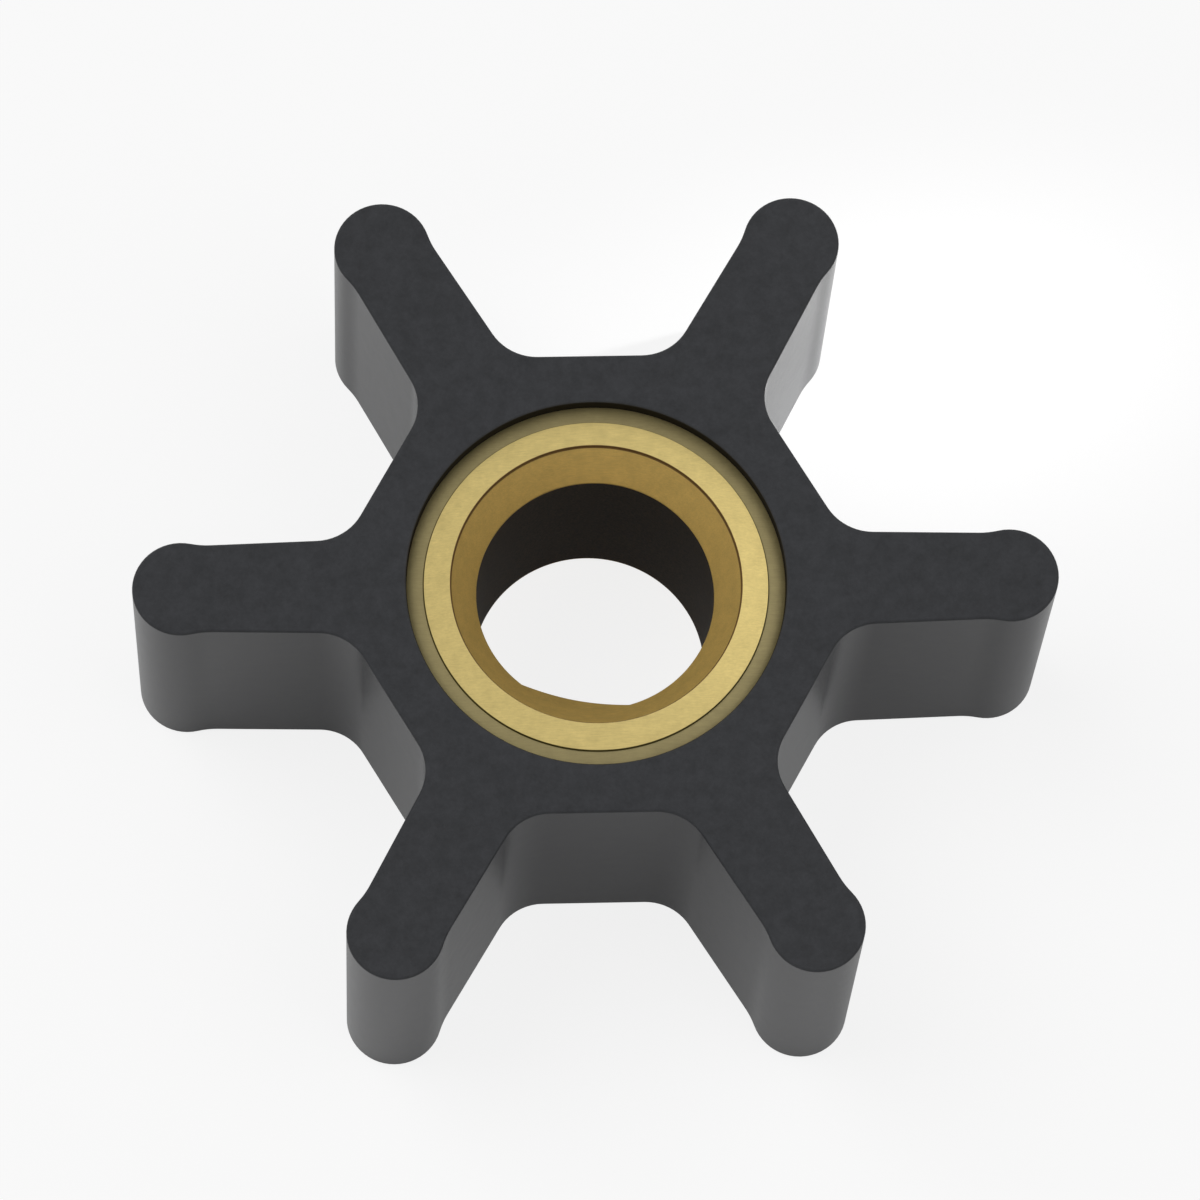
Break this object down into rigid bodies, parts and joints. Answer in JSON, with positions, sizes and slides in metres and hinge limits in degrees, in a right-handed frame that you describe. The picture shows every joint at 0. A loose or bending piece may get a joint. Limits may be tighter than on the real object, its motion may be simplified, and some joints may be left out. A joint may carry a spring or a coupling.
{
  "type": "rubber pump impeller",
  "caption": "Flexible rubber pump impeller with bead-tipped blades, bonded round a brass insert with a D-shaped drive bore.",
  "frame": {"origin": "shaft axis, at the level of the blades' lower faces, on which the impeller lies", "axes": "+Z along the shaft axis, +X through the middle of one blade; the middle of the bore's flat lies at 258 degrees from +X, turning towards +Y"},
  "size_m": [0.057, 0.0502, 0.0203],
  "materials": {
    "rubber": "moulded black rubber, matt",
    "brass": "turned brass, dull in the bore"
  },
  "bodies": {
    "root": {"rubber_body": "rubber", "brass_insert": "brass"}
  },
  "joints": []
}
